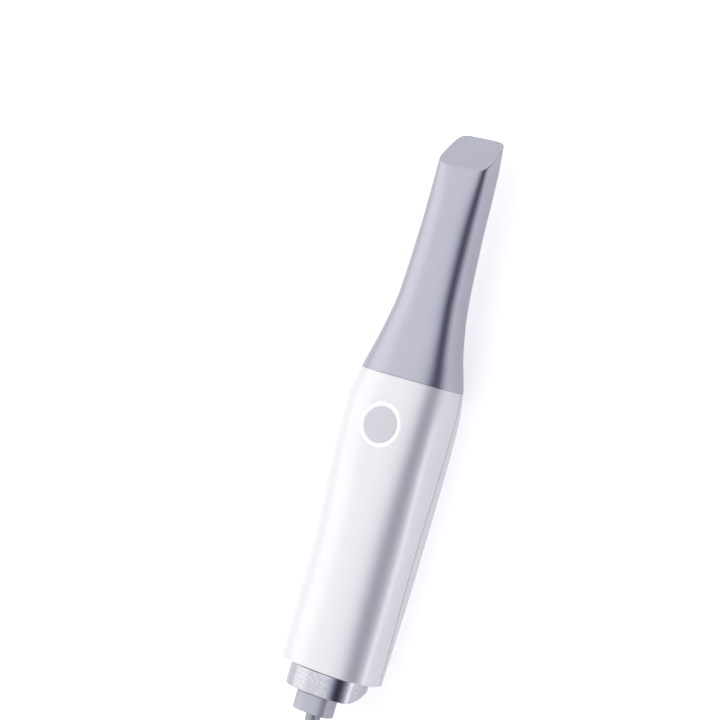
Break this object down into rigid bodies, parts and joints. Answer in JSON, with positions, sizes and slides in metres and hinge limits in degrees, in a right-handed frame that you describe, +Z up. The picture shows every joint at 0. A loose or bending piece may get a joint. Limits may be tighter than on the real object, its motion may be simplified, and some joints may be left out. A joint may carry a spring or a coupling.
{
  "type": "intraoral scanner",
  "caption": "Handheld intraoral scanner with a slip-on angled tip, a round push button with a light ring, a metal tail ring and a wired lead wound in a tied hank.",
  "frame": {"origin": "middle of the base of the scanner's box, on the surface it lies on", "axes": "+Y along the handle towards the scanning tip, +Z up out of the button side"},
  "size_m": [0.0504, 0.3868, 0.0301],
  "materials": {
    "white_plastic": "gloss white",
    "dark_plastic": "matt dark grey",
    "seal_rubber": "matt black",
    "clear_glass": "coated clear",
    "lilac_grey_plastic": "satin gloss lilac grey",
    "mirror_glass": "polished",
    "light_grey_plastic": "satin light grey",
    "white_light_guide": "translucent white",
    "black_plastic": "matt black",
    "plated_steel": "nickel plated",
    "green_board": "solder mask green",
    "milled_aluminium": "milled",
    "beige_plastic": "natural",
    "lead_jacket_black": "matt black",
    "blasted_aluminium": "bead blasted",
    "grey_plastic": "matt grey",
    "lead_jacket": "satin grey",
    "tie_strap": "woven black",
    "dark_soft_plastic": "satin dark grey"
  },
  "bodies": {
    "handle": {"front_shell": "white_plastic", "rear_shell": "white_plastic", "optics_nose": "dark_plastic", "nose_seal": "seal_rubber", "nose_window": "clear_glass", "button_light_ring": "white_light_guide", "switch_case": "plated_steel", "button_board": "green_board", "button_screw_1": "plated_steel", "button_screw_2": "plated_steel", "ring_lamp_1": "white_light_guide", "ring_lamp_2": "white_light_guide", "ring_lamp_3": "white_light_guide", "ring_lamp_4": "white_light_guide", "lens_carrier": "milled_aluminium", "projector_barrel": "black_plastic", "projector_lens": "clear_glass", "camera_left_barrel": "black_plastic", "camera_left_lens": "clear_glass", "camera_right_barrel": "black_plastic", "camera_right_lens": "clear_glass", "camera_board_left": "green_board", "camera_board_right": "green_board", "projector_module": "black_plastic", "heat_sink": "milled_aluminium", "main_board": "green_board", "board_screw_1": "plated_steel", "board_screw_2": "plated_steel", "board_screw_3": "plated_steel", "board_screw_4": "plated_steel", "processor": "black_plastic", "lead_socket": "beige_plastic", "harness_plug": "beige_plastic", "harness": "lead_jacket_black", "tail_ring": "blasted_aluminium", "cable_gland": "grey_plastic", "cable": "lead_jacket", "cable_hank": "lead_jacket", "cable_tie": "tie_strap", "cable_end": "lead_jacket", "plug_relief": "dark_soft_plastic", "plug_body": "dark_soft_plastic", "plug_shell": "plated_steel", "plug_tongue": "black_plastic"},
    "tip": {"tip_sleeve": "lilac_grey_plastic", "tip_mirror": "mirror_glass"},
    "button": {"button_cap": "light_grey_plastic", "switch_plunger": "black_plastic"}
  },
  "joints": [
    {"name": "tip_slide", "type": "slide", "parent": "handle", "child": "tip", "axis": [0, 1, 0], "range_m": [0, 0.06]},
    {"name": "button_press", "type": "slide", "parent": "handle", "child": "button", "axis": [0, 0, -1], "range_m": [0, 0.0005], "stiffness_N_per_m": 2500}
  ]
}
